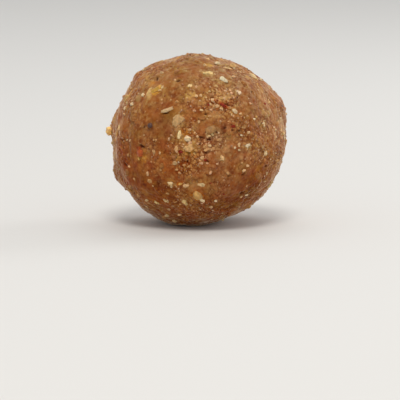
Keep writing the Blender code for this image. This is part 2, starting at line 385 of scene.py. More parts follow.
SIDE_LOOK = 0.55  # the chance patches and pits lie where a unit vector is less than this frontal

front = as_seen(0, 1, 0)
keep(blank.data, "sides", np.clip((0.8 - directions @ np.array(front)) / 0.4, 0.25, 1))
chance = random.Random(5)


def side_direction():
    """A unit vector by chance to somewhere on the sides, the back, the top or the underside."""
    while True:
        direction = Vector([chance.gauss(0, 1) for _ in range(3)]).normalized()
        if direction.dot(front) < SIDE_LOOK:
            return direction


def mostly_short(lengths, chance):
    shortest, longest = lengths
    return shortest + (longest - shortest) * chance.random() ** 2


def oval_distance(direction, length, width, turn):
    """How far the skin's points are from the middle of an oval on it, where 1 is its outline."""
    middle = np.array(BALL_MIDDLE + direction * BALL_RADIUS)
    sizes = np.array((length / 2, width / 2, max(length, 4))) * MM
    return np.linalg.norm((smooth_skin - middle) @ np.array(lie_in_skin(direction, turn)) / sizes,
                          axis=1)


ragged = 0.5 * cloud(0.625)
veil = np.zeros((len(smooth_skin), 4))


def show_through(oval, tint, strength, reach, fade):
    """Lets an oval patch show through the skin where nothing else shows more clearly."""
    shows = strength * np.clip((reach - oval_distance(*oval) - ragged) / fade, 0, 1)
    clearest = shows > veil[:, 3]
    veil[clearest, :3] = linear(tint)[:3]
    veil[clearest, 3] = shows[clearest]


patches = [((front_direction(across, up), length, width, turn), tint, strength)
           for tint, rows in UNDER_SKIN.items()
           for across, up, length, width, turn, strength in rows]
for _ in range(SIDE_PATCHES):
    length = chance.uniform(*SIDE_LENGTHS)
    oval = (side_direction(), length, length * chance.uniform(*SIDE_WIDTHS),
            chance.uniform(0, 180))
    patches.append((oval, chance.choice(SIDE_TINTS), chance.uniform(*SIDE_STRENGTHS)))
for oval, tint, strength in patches:
    show_through(oval, TINTS[tint], strength, reach=1.25, fade=0.6)

pits = [(front_direction(across, up), *oval) for across, up, *oval in PITS]
for _ in range(SIDE_PITS):
    length = mostly_short(SIDE_PIT_LENGTHS, chance)
    pits.append((side_direction(), length, length * chance.uniform(*SIDE_PIT_WIDTHS),
                 chance.uniform(0, 180)))
hollow = np.zeros(len(smooth_skin))
for pit in pits:
    hollow = np.maximum(hollow, np.clip((1.5 - oval_distance(*pit)) / 0.8, 0, 1))
keep(blank.data, "hollow", hollow)

# The pieces that stand in the dough: (kind, place, length and width in mm, turn in degrees, tint)
FRONT_PIECES = (
    ("gum", -10.1, 11.9, 3.4, 1.5, 50, "CA9C42"), ("nut", -11.8, 11.2, 2.5, 1, 95, "D8B070"),
    ("nut", 2.1, 15.7, 2.7, 1.3, -8, "E0C080"), ("coconut", 5.7, 14.1, 2.2, 1.4, -50, "DACCA8"),
    ("nut", 9.2, 11, 1.4, 1, -25, "FCDCB4"), ("nut", -2.1, 12.6, 1.4, 1.2, 60, "ECCC94"),
    ("coconut", -7.4, 7, 3.2, 1.1, 21, "C8A87C"), ("nut", -5, 4.6, 3.3, 2.7, 75, "C49C68"),
    ("seed", -11.5, 3.4, 1.4, 1.3, 0, "583A32"), ("nut", -4.5, 1.1, 2.1, 1.1, 95, "F0D49C"),
    ("nut", -2.3, -1.9, 2.5, 1.9, 20, "D4A66C"), ("nut", -5.1, -2, 1.8, 1.2, 75, "D8A870"),
    ("gum", 2.8, 2.3, 3, 2.1, 15, "A87C48"), ("coconut", 8.3, 6.6, 1.7, 1.1, -45, "CEB28A"),
    ("nut", 15.1, 3.7, 1.4, 1, 100, "E8C898"), ("gum", -13.9, -3.1, 2.3, 1.9, 60, "B4561C"),
    ("nut", 5.4, -4.3, 1.6, 1.2, -60, "DEB680"), ("nut", 11.1, -1.3, 1.4, 1.1, 20, "E6D0AC"),
    ("nut", 15.5, -3.2, 1.4, 1.1, 80, "DCBC90"), ("nut", -11.5, -9.7, 1.5, 1.2, 20, "CC9E66"),
    ("nut", -6.4, -10, 1.8, 1.1, 12, "E8C894"), ("nut", 0.7, -10.3, 1.8, 1.1, 5, "E0C08C"),
    ("gum", -0.3, -12.9, 3, 2.2, -45, "CC9E5A"), ("nut", -3.4, -14.4, 2.3, 1.2, -60, "E0BE80"),
    ("nut", -10, -14.6, 1.8, 1.1, -25, "F4D490"),
    ("clinging crumb", -20.6, 2.1, 2.3, 2, 90, "F4C478"),
)

# The smaller ones, spread evenly over the rest of the skin by a spiral with uneven steps
SPREAD_STEPS = 108
SPREAD_SEED = 61
SPREAD_KINDS = ("nut",) * 10 + ("gum",) * 3 + ("coconut",) * 3 + ("seed",)
SPREAD_LENGTHS = (1.3, 2.7)
SPREAD_WIDTHS = (0.55, 0.85)  # over the length
UNEVEN_STEP = 0.06  # radians
CLEAR_OF_OTHERS = 0.9
LOWEST_PIECE = -16.5  # mm under the ball's middle, so that none lies on the flat spot
SPREAD_TINTS = {
    "nut": ("C09458", "B48448", "CCA264", "BC8A4C", "D8B078"),
    "gum": ("B47C30", "A06424", "BC8A3A", "94602A"),
    "coconut": ("D0B484", "C4A470", "D8BC88"),
    "seed": ("7A4422", "6A3818"),
}
DOUGH_COATED = "9C6630"  # those on the front show only through the dough


def spread_places(taken, chance):
    """(kind, direction, length, width, turn) of each smaller piece, on a golden-angle spiral from
    the top of the ball to its underside, left out where it would touch one that is there."""
    golden_angle = math.pi * (3 - math.sqrt(5))
    places = []
    for step in range(SPREAD_STEPS):
        height = 1 - 2 * (step + 0.5) / SPREAD_STEPS
        ring = math.sqrt(1 - height * height)
        angle = golden_angle * step
        uneven = Vector([chance.uniform(-UNEVEN_STEP, UNEVEN_STEP) for _ in range(3)])
        direction = Vector((ring * math.cos(angle), ring * math.sin(angle), height)) + uneven
        direction.normalize()
        kind = chance.choice(SPREAD_KINDS)
        length = mostly_short(SPREAD_LENGTHS, chance)
        width = length * chance.uniform(*SPREAD_WIDTHS)
        turn = chance.uniform(0, 180)
        radius = BALL_RADIUS / MM
        clear = all(
            (direction - other).length * radius > (length + other_length) / 2 + CLEAR_OF_OTHERS
            for _, other, other_length, _, _ in taken + places)
        if clear and direction.z * radius > LOWEST_PIECE:
            places.append((kind, direction, length, width, turn))
    return places


set_pieces = [(kind, front_direction(across, up), *oval)
              for kind, across, up, *oval, _ in FRONT_PIECES]
piece_tints = [tint for *_, tint in FRONT_PIECES]
set_pieces += spread_places(set_pieces, random.Random(SPREAD_SEED))
for kind, direction, *_ in set_pieces[len(piece_tints):]:
    seen = direction.dot(front) > 1 - SIDE_LOOK
    piece_tints.append(DOUGH_COATED if seen else chance.choice(SPREAD_TINTS[kind]))

# The thin dough over the low edges of each piece lets its pale flesh through.
EDGE_VEILS = {"nut": "B48852", "gum": "A36C30", "coconut": "B08048", "seed": "6A3414",
              "clinging crumb": "B4803C"}
EDGE_REACH = 2.1  # over the piece's own length and width
EDGE_STRENGTH = 0.6
# The dough is pushed up in a low lip round each piece, and in at each pit.
LIP_HEIGHT = 0.14
LIP_WIDTH = 0.3  # over half the piece
SWELLS = ((2.2, 0.14), (1.2, 0.08))  # (mm across, height in mm)
SET_BACK = 0.08  # the solid's skin runs over the grains' tops
lip = np.zeros(len(smooth_skin))
for kind, direction, length, width, turn in set_pieces:
    show_through((direction, length * EDGE_REACH, width * EDGE_REACH, turn), EDGE_VEILS[kind],
                 EDGE_STRENGTH, reach=1.2, fade=0.8)
    apart = oval_distance(direction, length, width, turn)
    lip = np.maximum(lip, LIP_HEIGHT * np.exp(-(((apart - 1) / LIP_WIDTH) ** 2)))
keep(blank.data, "under_skin", veil)
relief = lip - PIT_DEPTH * hollow - SET_BACK
for size, height in SWELLS:
    relief += height * cloud(size, (0, 60, 0))
shaped_skin = smooth_skin + directions * relief[:, None] * MM
blank.data.vertices.foreach_set("co", shaped_skin.ravel())

# Roasted flour dough: millimetre grains of semolina in a moist paste of flour and ghee, golden
# to red brown in clouds, each grain with its own tone, darker in the joints between them.
# Slightly translucent, hardly glossy, and paler where it is seen at a slant, from the dust of
# flour on it.
GRAIN_SIZE = 1.0  # mm, as all of the sizes below
CRUMB_SIZE = 0.55
dough = bpy.data.materials.new("roasted wheat flour dough")
dough.use_nodes = True
add = partial(add_node, dough.node_tree)
place = add("ShaderNodeAttribute", attribute_name="pressed_skin").outputs["Vector"]
loose = add("ShaderNodeAttribute", attribute_name="crumbly").outputs["Fac"]

layers = []  # (how much, what colour), each over those before it
elsewhere = place
for size, low, high, tint, strength in (
    (7.0, 0.38, 0.62, "985A1E", 0.9), (3.2, 0.5, 0.68, "A2662E", 0.6),
    (2.3, 0.5, 0.66, "B08048", 0.7), (1.7, 0.5, 0.66, "6A2A08", 0.8),
    (2.8, 0.5, 0.66, "A06234", 0.4), (1.1, 0.54, 0.7, "B68C5A", 0.55),
    (0.9, 0.54, 0.7, "702E0A", 0.5),
):
    lumps = add("ShaderNodeTexNoise", {"Vector": elsewhere, "Scale": 1 / size, "Detail": 1.0})
    amount = add("ShaderNodeMapRange", {
        "Value": lumps, "From Min": low, "From Max": high, "To Max": strength})
    layers.append((amount, linear(tint)))
    elsewhere = add("ShaderNodeVectorMath", {0: elsewhere, 1: (31, 17, 9)}, operation="ADD")

# the outlines of the grains are uneven
bend = add("ShaderNodeTexNoise", {"Vector": place, "Scale": 1 / 0.6, "Detail": 2.0})
bend = add("ShaderNodeVectorMath", {0: bend.outputs["Color"], 1: (0.5,) * 3}, operation="SUBTRACT")
bent = add("ShaderNodeVectorMath", {0: bend, 1: (0.7,) * 3, 2: place}, operation="MULTIPLY_ADD")
for size, dark, light, least, most in (
    (GRAIN_SIZE, "76340E", "B88D5E", 0.18, 0.45), (CRUMB_SIZE, "763810", "BE966A", 0.12, 0.45),
):
    cells = add("ShaderNodeTexVoronoi", {"Vector": bent, "Scale": 1 / size})
    own = add("ShaderNodeSeparateXYZ", {0: cells.outputs["Color"]}).outputs[1]
    grain = add("ShaderNodeMix", {0: own, 6: linear(dark), 7: linear(light)},
                data_type="RGBA").outputs[2]
    share = add("ShaderNodeMapRange", {"Value": loose, "To Min": least, "To Max": most})
    layers.append((share, grain))

# dark joints between the grains
joint = add("ShaderNodeTexVoronoi", {"Vector": bent, "Scale": 1 / GRAIN_SIZE},
            feature="DISTANCE_TO_EDGE")
joint = add("ShaderNodeMapRange", {
    "Value": joint, "From Min": 0.0, "From Max": 0.17, "To Min": 0.8, "To Max": 0.0})
joint = add("ShaderNodeMath", {0: joint, 1: loose}, operation="MULTIPLY")
layers.append((joint, linear("5A1E06")))

# what lies just under the skin, broken up by the flour over it
under = add("ShaderNodeAttribute", attribute_name="under_skin")
film = add("ShaderNodeTexNoise", {"Vector": place, "Scale": 1 / 0.8, "Detail": 2.0})
film = add("ShaderNodeMapRange", {
    "Value": film, "From Min": 0.35, "From Max": 0.6, "To Min": 0.45, "To Max": 1.0})
shows = add("ShaderNodeMath", {0: under.outputs["Alpha"], 1: film}, operation="MULTIPLY")
layers.append((shows, under))

# soft pale crumbs that lie just under the skin, then powder-fine specks: cream semolina and red
# brown bran
strewn = add("ShaderNodeMapRange", {"Value": loose, "To Min": 0.3, "To Max": 1.1})
for size, radius, soft, chosen, tint, strength in (
    (2.3, 0.1, 0.34, 0.66, "BA9060", 0.65), (1.5, 0.1, 0.34, 0.72, "C09A6C", 0.65),
    (0.8, 0.22, 0.15, 0.92, "D8B894", 0.8), (0.95, 0.26, 0.15, 0.86, "6E2C0E", 0.65),
    (0.5, 0.3, 0.15, 0.88, "C8A880", 0.6),
):
    specks = add("ShaderNodeTexVoronoi", {"Vector": bent, "Scale": 1 / size})
    parts = add("ShaderNodeSeparateXYZ", {0: specks.outputs["Color"]}).outputs
    speck = add("ShaderNodeMapRange", {
        "Value": specks, "From Min": radius, "From Max": radius + soft, "To Min": strength,
        "To Max": 0.0})
    picked = add("ShaderNodeMath", {0: parts[2], 1: chosen}, operation="GREATER_THAN")
    for share in (picked, strewn):
        speck = add("ShaderNodeMath", {0: speck, 1: share}, operation="MULTIPLY")
    layers.append((speck, linear(tint)))

colour = linear("894410")
for share, over in layers:
    colour = add("ShaderNodeMix", {0: share, 6: colour, 7: over}, data_type="RGBA").outputs[2]

# paler, more golden, redder or more toasted from zone to zone, with painted shade low on the ball
# and painted sheen along its top and right edge
zones = add("ShaderNodeAttribute", attribute_name="tone").outputs["Vector"]
colour = add("ShaderNodeVectorMath", {0: colour, 1: zones}, operation="MULTIPLY")

# the inside of pits and cracks painted dark: moister dough there, and painted shade in the hollow
pit = add("ShaderNodeAttribute", attribute_name="hollow").outputs["Fac"]
pit = add("ShaderNodeMath", {0: pit, 1: 0.9}, operation="MULTIPLY")
colour = add("ShaderNodeMix", {0: pit, 6: colour, 7: linear("481A08")}, data_type="RGBA")

gloss = add("ShaderNodeTexNoise", {"Vector": place, "Scale": 1 / 0.7, "Detail": 2.0})
gloss = add("ShaderNodeMapRange", {
    "Value": gloss, "From Min": 0.3, "From Max": 0.7, "To Min": 0.36, "To Max": 0.62})
flour = add("ShaderNodeTexNoise", {"Vector": place, "Scale": 1 / 0.28, "Detail": 2.0})
uneven = add("ShaderNodeBump", {"Strength": 0.5, "Distance": 0.06 * MM, "Height": flour})
feed(dough.node_tree.nodes["Principled BSDF"], {
    "Base Color": colour.outputs[2], "Roughness": gloss, "Normal": uneven,
    "Specular IOR Level": 0.05, "Sheen Weight": 1.0, "Sheen Roughness": 0.3,
    "Sheen Tint": linear("FFE8CC"), "Subsurface Weight": 0.25,
    "Subsurface Radius": (1.0, 0.5, 0.25), "Subsurface Scale": 0.5 * MM})

ball = run_tree(
    "ladoo_dough", packed_grains(), blank.data, grain_size=GRAIN_SIZE, grain_height=0.18,
    crumb_size=CRUMB_SIZE, crumb_height=0.13, millimetre=MM, material=dough,
)
bpy.data.objects.remove(blank)
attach(ball, "root")
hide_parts("ladoo")

# --------------------------------------------------
# The pieces that stand in the skin, each broken by the knife or the mortar and pressed in by the
# palms, so that dough clings to its low edges: first the chopped almonds and cashews.
KIND_FORMS = {  # thickness over width, and share of the thickness that stands out
    "nut": (0.75, 0.4), "gum": (0.8, 0.4), "coconut": (0.5, 0.6), "seed": (1.0, 0.5),
    "clinging crumb": (1.0, 0.7),
}
OUTLINE_BAND = 0.22  # those this near the front's outline are pressed in almost flush
PRESSED_IN = 0.3
BIT_FORMS = 5  # differently broken forms of each kind


def marked_points(name, rows):
    """Points that say the size, lie and tint of the bit on each: (place, direction it faces,
    length, width, thickness, all three in mm, turn in degrees, tint)."""
    mesh = bpy.data.meshes.new(name)
    mesh.from_pydata([place for place, *_ in rows], [], [])
    keep(mesh, "size", [[side * MM for side in row[2:5]] for row in rows])
    keep(mesh, "lie", [lie_in_skin(facing, turn).to_euler() for _, facing, *_, turn, _ in rows])
    keep(mesh, "tint", [linear(tint) for *_, tint in rows])
    return in_scene(name, mesh)


def bits_in_skin():
    """Tree: a broken bit on each marked point, and on points strewn over the skin by chance."""
    tree, add, given = new_tree(
        "bits in the skin", marked="Object", where="String", per_square_metre=0.0, apart=0.001,
        seed=0, shortest=0.001, longest=0.002, flatness=0.7, dull="Color", bright="Color",
        faces=1, sharpness=1.0, uneven_size=0.0005, uneven_height=0.0, rounded=True,
        lowest=0.001, material="Material")
    bits = add("GeometryNodeGeometryToInstance")
    for form in range(BIT_FORMS):
        # an ico sphere cut to the flat facets that lie round the nearest of some chance points
        around = add("GeometryNodeMeshIcoSphere", {"Radius": 1.0, "Subdivisions": given["faces"]})
        along = add("GeometryNodeInputPosition")
        shift = (7.3 * form + 1.1, 3.1 * form, 5.7 * form)
        sample = add("ShaderNodeVectorMath", {0: along, 1: shift})
        cells = add("ShaderNodeTexVoronoi", {"Vector": sample, "Scale": 1.0})
        facet = add("ShaderNodeVectorMath", {0: cells.outputs["Position"], 1: shift},
                    operation="SUBTRACT")
        facet = add("ShaderNodeVectorMath", {0: facet}, operation="NORMALIZE")
        slope = add("ShaderNodeVectorMath", {0: along, 1: facet}, operation="DOT_PRODUCT")
        slope = add("ShaderNodeMath", {0: slope.outputs["Value"], 1: 0.6}, operation="MAXIMUM")
        flat = add("ShaderNodeMath", {0: 0.41, 1: slope}, operation="DIVIDE")
        reach = add("ShaderNodeMix", {0: given["sharpness"], 2: 0.48, 3: flat})
        corner = add("ShaderNodeVectorMath", {0: along, "Scale": reach}, operation="SCALE")
        cut = add("GeometryNodeSetPosition", {"Geometry": around, "Position": corner})
        feed(bits, {0: cut})

    factor = add("GeometryNodeInputNamedAttribute", {"Name": given["where"]}, data_type="FLOAT")
    strewn = add("GeometryNodeDistributePointsOnFaces", {
        "Mesh": given["Geometry"], "Distance Min": given["apart"],
        "Density Max": given["per_square_metre"], "Density Factor": factor,
        "Seed": given["seed"]}, distribute_method="POISSON")
    draws = []
    for draw in range(1, 5):
        number = add("ShaderNodeMath", {0: given["seed"], 1: draw})
        draws.append(add("FunctionNodeRandomValue", {"Seed": number},
                         data_type="FLOAT").outputs[1])
    small = add("ShaderNodeMath", {0: draws[0], 1: 2.0}, operation="POWER")
    length = add("ShaderNodeMapRange", {
        "Value": small, "To Min": given["shortest"], "To Max": given["longest"]})
    narrow = add("ShaderNodeMapRange", {"Value": draws[1], "To Min": 0.55, "To Max": 0.95})
    width = add("ShaderNodeMath", {0: length, 1: narrow}, operation="MULTIPLY")
    thickness = add("ShaderNodeMath", {0: width, 1: given["flatness"]}, operation="MULTIPLY")
    angle = add("ShaderNodeMath", {0: draws[2], 1: 2 * math.pi}, operation="MULTIPLY")
    spin = add("FunctionNodeAxisAngleToRotation", {"Axis": (0, 0, 1), "Angle": angle})
    turned = add("FunctionNodeRotateRotation", {0: strewn.outputs["Rotation"], 1: spin},
                 rotation_space="LOCAL")
    tint = add("ShaderNodeMix", {0: draws[3], 6: given["dull"], 7: given["bright"]},
               data_type="RGBA")
    chance_bits = {
        "size": add("ShaderNodeCombineXYZ", {0: length, 1: width, 2: thickness}),
        "lie": add("FunctionNodeRotationToEuler", {0: turned}),
        "tint": tint.outputs[2]}
    points = strewn
    own = {}
    for name, value in chance_bits.items():
        kind = "FLOAT_COLOR" if name == "tint" else "FLOAT_VECTOR"
        points = add("GeometryNodeStoreNamedAttribute",
                     {"Geometry": points, "Name": name, "Value": value}, data_type=kind)
        own[name] = add("GeometryNodeInputNamedAttribute", {"Name": name}, data_type=kind)

    marks = add("GeometryNodeObjectInfo", {"Object": given["marked"]}).outputs["Geometry"]
    every = add("GeometryNodeJoinGeometry", {0: points})
    feed(every, {0: marks})
    height = add("ShaderNodeSeparateXYZ", {0: add("GeometryNodeInputPosition")})
    clear = add("ShaderNodeMath", {0: height.outputs[2], 1: given["lowest"]},
                operation="GREATER_THAN")
    set_in = add("GeometryNodeInstanceOnPoints", {
        "Points": every, "Selection": clear, "Instance": bits, "Pick Instance": True,
        "Rotation": own["lie"], "Scale": own["size"]})
    tinted = add("GeometryNodeStoreNamedAttribute", {
        "Geometry": set_in, "Name": "tint", "Value": own["tint"]},
        data_type="FLOAT_COLOR", domain="INSTANCE")
    real = add("GeometryNodeRealizeInstances", {"Geometry": tinted})

    # the broken faces are uneven
    spot = add("GeometryNodeInputPosition")
    scale = add("ShaderNodeMath", {0: 1.0, 1: given["uneven_size"]}, operation="DIVIDE")
    bumps = add("ShaderNodeTexNoise", {"Vector": spot, "Scale": scale})
    swell = add("ShaderNodeMapRange", {
        "Value": bumps, "From Min": 0.3, "From Max": 0.7, "To Min": -1.0, "To Max": 1.0})
    swell = add("ShaderNodeMath", {0: swell, 1: given["uneven_height"]}, operation="MULTIPLY")
    outward = add("GeometryNodeInputNormal")
    offset = add("ShaderNodeVectorMath", {0: outward, "Scale": swell}, operation="SCALE")
    broken = add("GeometryNodeSetPosition", {"Geometry": real, "Offset": offset})
    smooth = add("GeometryNodeSetShadeSmooth", {
        "Geometry": broken, "Shade Smooth": given["rounded"]})
    done = add("GeometryNodeSetMaterial", {"Geometry": smooth, "Material": given["material"]})
    add("NodeGroupOutput", {"Geometry": done})
    return tree


def coated(name, film, mottle_size, roughness, specular, see_through):
    """A material of bits that show their own tint, mottled, and the dough that clings to them
    lower than the film's height in mm above the skin."""
    material = bpy.data.materials.new(name)
    material.use_nodes = True
    add = partial(add_node, material.node_tree)
    place = add("ShaderNodeTexCoord").outputs["Object"]
    own = add("ShaderNodeAttribute", attribute_name="tint")
    mottle = add("ShaderNodeTexNoise", {
        "Vector": place, "Scale": 1 / (mottle_size * MM), "Detail": 3.0})
    shade = add("ShaderNodeMapRange", {
        "Value": mottle, "From Min": 0.3, "From Max": 0.7, "To Min": 0.66, "To Max": 1.16})
    own = add("ShaderNodeVectorMath", {0: own, "Scale": shade}, operation="SCALE")
    above = add("ShaderNodeAttribute", attribute_name="above_skin").outputs["Fac"]
    edge = add("ShaderNodeTexNoise", {"Vector": place, "Scale": 1 / (0.5 * MM), "Detail": 2.0})
    wander = add("ShaderNodeMapRange", {
        "Value": edge, "From Min": 0.3, "From Max": 0.7, "To Min": -1.3 * film,
        "To Max": 1.3 * film})
    above = add("ShaderNodeMath", {0: above, 1: wander})
    cover = add("ShaderNodeMapRange", {
        "Value": above, "From Min": film / 2, "From Max": film * 1.5, "To Min": 0.8,
        "To Max": 0.0})
    colour = add("ShaderNodeMix", {0: cover, 6: own, 7: linear("94592A")}, data_type="RGBA")
    feed(material.node_tree.nodes["Principled BSDF"], {
        "Base Color": colour.outputs[2], "Roughness": roughness, "Specular IOR Level": specular,
        "Subsurface Weight": see_through, "Subsurface Radius": (1.0, 0.6, 0.35),
        "Subsurface Scale": 0.5 * MM})
    return material


def set_in_dough(name, kinds, material, **form):
    """The pieces of some kinds that the solid carries, as one object."""
    rows = []
    for (kind, direction, length, width, turn), tint in zip(set_pieces, piece_tints):
        if kind in kinds:
            flatness, stands_out = KIND_FORMS[kind]
            if kind != "clinging crumb" and abs(direction.dot(front)) < OUTLINE_BAND:
                stands_out *= PRESSED_IN
            thickness = width * flatness
            reach = skin_radii(np.array([direction]))[0] + (stands_out - 0.5) * thickness * MM
            rows.append((BALL_MIDDLE + direction * reach, direction, length, width, thickness,
                         turn, tint))
    points = marked_points(name + "_points", rows)
    piece = run_tree(name, bits_tree, bpy.data.meshes.new("none"), marked=points, lowest=-1.0,
                     faces=3, material=material, **form)
    bpy.data.objects.remove(points)
    note_height(piece)
    return piece


def note_height(piece, on_grains=False):
    """Keeps how far each point of a piece is above the smooth skin, or the grains, in mm."""
    from_middle = coordinates(piece.data) - np.array(BALL_MIDDLE)
    reach = np.linalg.norm(from_middle, axis=1)
    ways = from_middle / reach[:, None]
    if on_grains:
        skin = [(ball.ray_cast(BALL_MIDDLE, way)[1] - BALL_MIDDLE).length for way in ways]
    else:
        skin = skin_radii(ways)
    keep(piece.data, "above_skin", (reach - np.array(skin)) / MM)


bits_tree = bits_in_skin()

# Almond and cashew: cream, matt and slightly translucent, some yellowed by the ghee
nut_flesh = coated("blanched almond and cashew", film=0.07, mottle_size=0.6, roughness=0.5,
                   specular=0.2, see_through=0.35)
nuts = set_in_dough("ladoo_nut_chips", ("nut",), nut_flesh, sharpness=0.9,
                    uneven_size=0.5 * MM, uneven_height=0.13 * MM)
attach(nuts, "root")
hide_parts("ladoo")

# --------------------------------------------------
# Edible gum: tears of acacia resin puffed up in hot ghee and crushed, so rounded, amber and
# glassy, with brown skins of dough. One crumb clings to the left edge.

# Puffed gum: amber, glossy, and the light goes into it deeper than into the dough
puffed_gum = coated("puffed acacia gum", film=0.06, mottle_size=0.7, roughness=0.42,
                    specular=0.3, see_through=0.6)
gum = set_in_dough("ladoo_gum_crumbs", ("gum", "clinging crumb"), puffed_gum, sharpness=0.5,
                   uneven_size=0.5 * MM, uneven_height=0.10 * MM)
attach(gum, "root")
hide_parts("ladoo")

# --------------------------------------------------
# Dried coconut: the white flesh of the nut, dried and grated into flat shreds, which the palms
# press in until they lie almost flush in the skin.

# Dried coconut: off white and matt
coconut_flesh = coated("dried coconut", film=0.04, mottle_size=0.4, roughness=0.6,
                       specular=0.2, see_through=0.3)
coconut = set_in_dough("ladoo_coconut_shreds", ("coconut",), coconut_flesh, sharpness=0.7,
                       uneven_size=0.4 * MM, uneven_height=0.04 * MM)
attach(coconut, "root")
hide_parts("ladoo")

# --------------------------------------------------
# Spice seeds: small, whole and almost round, dark plum brown with a grey gleam, stirred into the
# dough and pressed in by half.

# Seed coat: near black brown, half gloss
seed_coat = coated("dark spice seed coat", film=0.05, mottle_size=0.3, roughness=0.42,
                   specular=0.35, see_through=0.0)
seeds = set_in_dough("ladoo_spice_seeds", ("seed",), seed_coat, sharpness=0.15,
                     uneven_size=0.4 * MM, uneven_height=0.02 * MM)
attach(seeds, "root")
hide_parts("ladoo")

# --------------------------------------------------
# Crumbs of nut: what the knife made between the chips, cream, tan and pinkish, pressed flush
# into the skin. Those on the front lie where they are seen, the rest by chance.
CRUMB_TINTS = {"cream": "DAB280", "white": "E6CCA2", "tan": "C89660", "pink": "DAAA80",
               "yellow": "D8A858", "red": "8A2200", "brown": "A46C3C"}
# for each tint: (place, length and width in mm, and turn in degrees unless it lies level)
FRONT_CRUMBS = {
    "cream": (
        (-5.7, 14.2, 0.7, 0.6), (0.5, 6.9, 1, 0.6, -10), (5.3, 7.3, 1, 0.7, -20),
        (2.7, 8.4, 1, 0.5, -60), (-0.4, 0.8, 0.7, 0.6), (2.2, 0.9, 1.1, 0.7, 15),
        (2.4, -1.3, 0.9, 0.6), (9.5, 6, 0.7, 0.6), (11.2, 1.7, 0.9, 0.7), (11.2, -5.9, 1, 0.7, 20),
        (10.2, -7, 1, 0.7, 30), (-12.1, -8, 1.2, 0.7, 80), (-7.3, -14.2, 1.2, 0.6, 90),
        (-3, -10.6, 1.6, 0.9, 5), (-9.1, -3, 0.7, 0.5, 90), (-17.8, 6.2, 0.8, 0.7),
        (19.4, 2.3, 1, 0.7, 60), (-7, -16.2, 0.9, 0.7), (-4.5, -17.4, 1.1, 0.8),
        (10, -13.4, 0.7, 0.6, 20), (-16.4, -6.2, 0.7, 0.6), (-9.3, 11.8, 1, 0.5, 10),
        (0, 4.3, 0.9, 0.6, 85), (-0.6, 10.2, 0.9, 0.8, 85), (0.4, 10.3, 0.8, 0.8),
        (4.2, 7.9, 0.9, 0.9), (3.1, 9.1, 0.9, 0.8, 80), (2.8, -15.4, 0.9, 0.6),
        (2.1, 19.2, 1, 0.6, -10), (-7.6, -17.4, 0.8, 0.6), (9.3, -1.1, 1.2, 0.7, 80),
        (6.8, 17.1, 2.3, 0.7, -35), (8.2, 14.9, 1, 0.8), (0.7, -4.1, 1.2, 0.9, 50),
    ),
    "white": (
        (9.7, 1.1, 0.7, 0.6), (3.8, -13.9, 0.8, 0.7), (-15.8, 8.4, 1, 0.9),
        (20.1, 0.5, 1, 0.8, 80), (12.6, 4.7, 0.6, 0.6), (8.3, -1.8, 0.7, 0.6),
        (11.4, -13.2, 1, 0.6), (0.7, -13.7, 1.5, 0.9, -40), (-13.2, 10.6, 1, 1),
        (-17.5, 7.5, 1.3, 0.9, 80), (-2.6, 0.3, 1.9, 1.4, 12), (4.4, 18.3, 1.6, 0.9, -15),
        (14.7, 14.3, 1.3, 0.9, -30),
    ),
    "tan": (
        (6.7, -7.6, 1, 0.8), (-5.1, 9, 0.9, 0.7), (-8.8, 9.6, 0.7, 0.6), (-6.7, 9.5, 0.7, 0.6, 20),
        (2.5, 5.6, 0.9, 0.6), (4.9, 11.3, 0.9, 0.7), (7.3, 7.5, 0.8, 0.6, 80),
        (-10.7, 0, 0.7, 0.6), (-10.1, 0, 0.7, 0.6), (-2.4, 2.3, 0.8, 0.7),
        (1.9, -2.2, 1.9, 0.7, 20), (3.4, -2, 0.9, 0.9), (-5.2, -6.9, 0.9, 0.6, 10),
        (-4.5, -7.6, 0.7, 0.7), (-3.5, -5.8, 0.8, 0.6), (-8.9, -6.9, 0.6, 0.6),
        (-14.2, -13, 1.2, 1), (4.5, 0, 0.7, 0.5), (9.8, -5.2, 0.6, 0.6), (-2.4, -6.2, 0.7, 0.6),
        (-7.3, -12.4, 0.7, 0.6), (-14.9, 6.7, 0.9, 0.7),
    ),
    "pink": (
        (-0.6, 12.4, 0.8, 0.5, -50), (-1.1, 6.8, 0.8, 0.5), (2.8, 7.1, 0.7, 0.6),
        (6.2, 11.5, 0.9, 0.7), (7.5, 10.9, 0.8, 0.8), (7.9, 5.6, 0.6, 0.6), (-6.4, 1.1, 0.5, 0.5),
        (-7, 0.2, 0.9, 0.6, 85), (-0.3, -0.8, 0.6, 0.5), (-2.1, -0.6, 1.2, 0.7, 10),
        (0.6, -5.4, 1.2, 0.6, 5), (1.9, -5.4, 0.7, 0.5, 15), (4.2, -5.5, 0.6, 0.5),
        (2.7, -7.6, 1.1, 0.7, 80), (-5.1, -2.6, 0.6, 0.6), (5.8, 9.6, 0.8, 0.8),
        (15.4, 9.1, 0.8, 0.6, 85), (11.7, 8.3, 0.6, 0.6), (8, 9.8, 0.6, 0.6),
        (7.3, 11.6, 0.8, 0.6),
    ),
    "yellow": (
        (-14.2, -4.4, 0.8, 0.7), (-4.4, -10.2, 1.1, 0.6, 10), (13.1, 5.3, 0.5, 0.5),
        (13.7, 13.1, 0.7, 0.6),
    ),
    "red": (
        (2.2, 8.2, 0.9, 0.6, -50), (5.6, 8, 1.9, 0.8, -32), (-4.2, -2.7, 1.1, 0.7),
        (7.8, 3.1, 1.1, 0.8), (15.4, 8.4, 0.7, 0.5), (1.5, -4.7, 0.7, 0.6),
        (4.2, 9.2, 0.7, 0.4, -10), (5.6, -12.4, 0.5, 0.5), (2.7, -10, 0.5, 0.4),
    ),
    "brown": (
        (-5.9, -4, 1.4, 1),
    ),
}
CRUMB_FLATNESS = 0.75
CRUMB_OUT = 0.62  # share of the thickness that stands out of the skin

